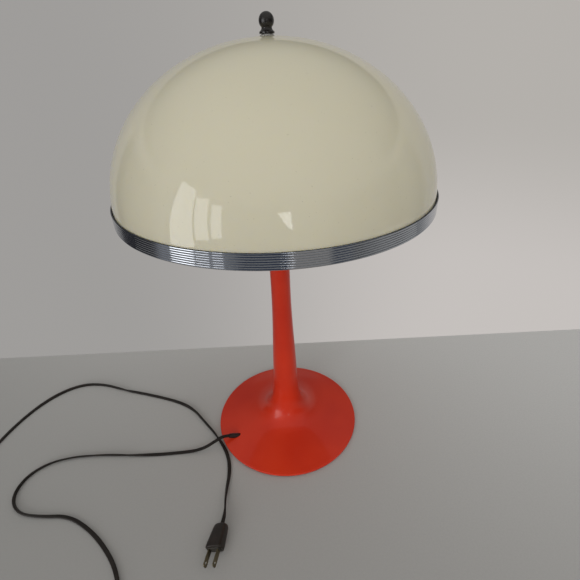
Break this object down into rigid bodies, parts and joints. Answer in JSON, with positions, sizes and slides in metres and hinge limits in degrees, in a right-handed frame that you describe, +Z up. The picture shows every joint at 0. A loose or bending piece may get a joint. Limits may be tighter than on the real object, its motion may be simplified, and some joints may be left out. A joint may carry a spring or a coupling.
{
  "type": "mushroom table lamp",
  "caption": "Table lamp with a flared tulip base and stem, a cream dome shade with a ribbed chrome band on a harp, a turn-knob socket, and a flat cord with a plug.",
  "frame": {"origin": "on the table, under the middle of the base, on the lamp's axis", "axes": "+Z up along the lamp's axis, -Y to the front where the switch knob points, +X to the lamp's side"},
  "size_m": [0.6482, 0.5218, 0.5489],
  "materials": {
    "orange_enamel": "glossy enamel",
    "felt": "felt",
    "cast_weight": "as cast",
    "zinc_steel": "zinc plated",
    "black_rubber": "matt",
    "brown_cord": "satin",
    "brass_plate": "satin plated",
    "socket_brass": "polished",
    "card": "fibre card",
    "black_moulding": "moulded",
    "screw_metal": "rolled thread",
    "contact_brass": "plain",
    "black_glass": "glossy",
    "white_glass": "soft white",
    "cream_acrylic": "glossy, a little translucent",
    "chrome_band": "ribbed chrome",
    "grey_washer": "satin",
    "dark_bronze": "dark bronze lacquer",
    "brown_plug": "satin",
    "grey_plug_core": "satin",
    "plug_brass": "dull"
  },
  "bodies": {
    "lamp": {"tulip_base": "orange_enamel", "stem_cap": "orange_enamel", "base_felt": "felt", "ballast_weight": "cast_weight", "bottom_washer": "zinc_steel", "bottom_nut": "zinc_steel", "lamp_pipe": "zinc_steel", "cord_bushing": "black_rubber", "inner_cord": "brown_cord", "harp_saddle": "brass_plate", "lock_nut": "brass_plate", "harp_loop": "brass_plate", "harp_stud": "brass_plate", "socket_cap": "socket_brass", "socket_shell": "socket_brass", "socket_sleeve": "card", "socket_body": "black_moulding", "screw_shell": "screw_metal", "centre_contact": "contact_brass", "terminal_screws": "contact_brass", "socket_leads": "brown_cord", "power_cord": "brown_cord", "plug_shell": "brown_plug", "plug_core": "grey_plug_core", "plug_blades": "plug_brass"},
    "switch": {"switch_shaft": "contact_brass", "switch_knob": "black_moulding"},
    "left_ferrule": {"harp_ferrule_left": "brass_plate"},
    "right_ferrule": {"harp_ferrule_right": "brass_plate"},
    "bulb_tip": {"bulb_contact": "contact_brass"},
    "bulb": {"bulb_insulator": "black_glass", "bulb_screw_base": "screw_metal", "bulb_glass": "white_glass"},
    "shade": {"shade_dome": "cream_acrylic", "shade_band": "chrome_band"},
    "washer": {"finial_washer": "grey_washer"},
    "finial": {"finial": "dark_bronze"}
  },
  "joints": [
    {"name": "switch_knob_turn", "type": "hinge", "parent": "lamp", "child": "switch", "pos_m": [0, 0, 0.3819], "axis": [0, -1, 0], "continuous": true},
    {"name": "left_ferrule_slide", "type": "slide", "parent": "lamp", "child": "left_ferrule", "axis": [0, 0, 1], "range_m": [0, 0.012]},
    {"name": "right_ferrule_slide", "type": "slide", "parent": "lamp", "child": "right_ferrule", "axis": [0, 0, 1], "range_m": [0, 0.012]},
    {"name": "bulb_rise", "type": "slide", "parent": "lamp", "child": "bulb_tip", "axis": [0, 0, 1], "range_m": [0, 0.02]},
    {"name": "bulb_turn", "type": "hinge", "parent": "bulb_tip", "child": "bulb", "pos_m": [0, 0, 0.4], "axis": [0, 0, 1], "range_deg": [0, 1980]},
    {"name": "shade_turn", "type": "hinge", "parent": "lamp", "child": "shade", "pos_m": [0, 0, 0.5265], "axis": [0, 0, 1], "continuous": true},
    {"name": "finial_turn", "type": "hinge", "parent": "shade", "child": "washer", "pos_m": [0, 0, 0.5298], "axis": [0, 0, 1], "range_deg": [0, 1440]},
    {"name": "finial_rise", "type": "slide", "parent": "washer", "child": "finial", "axis": [0, 0, 1], "range_m": [0, 0.004]}
  ],
  "couplings": [
    {"joint": "bulb_rise", "follows": "bulb_turn", "m_per_rad": 0.0005775},
    {"joint": "finial_rise", "follows": "finial_turn", "m_per_rad": 0.00014972}
  ]
}
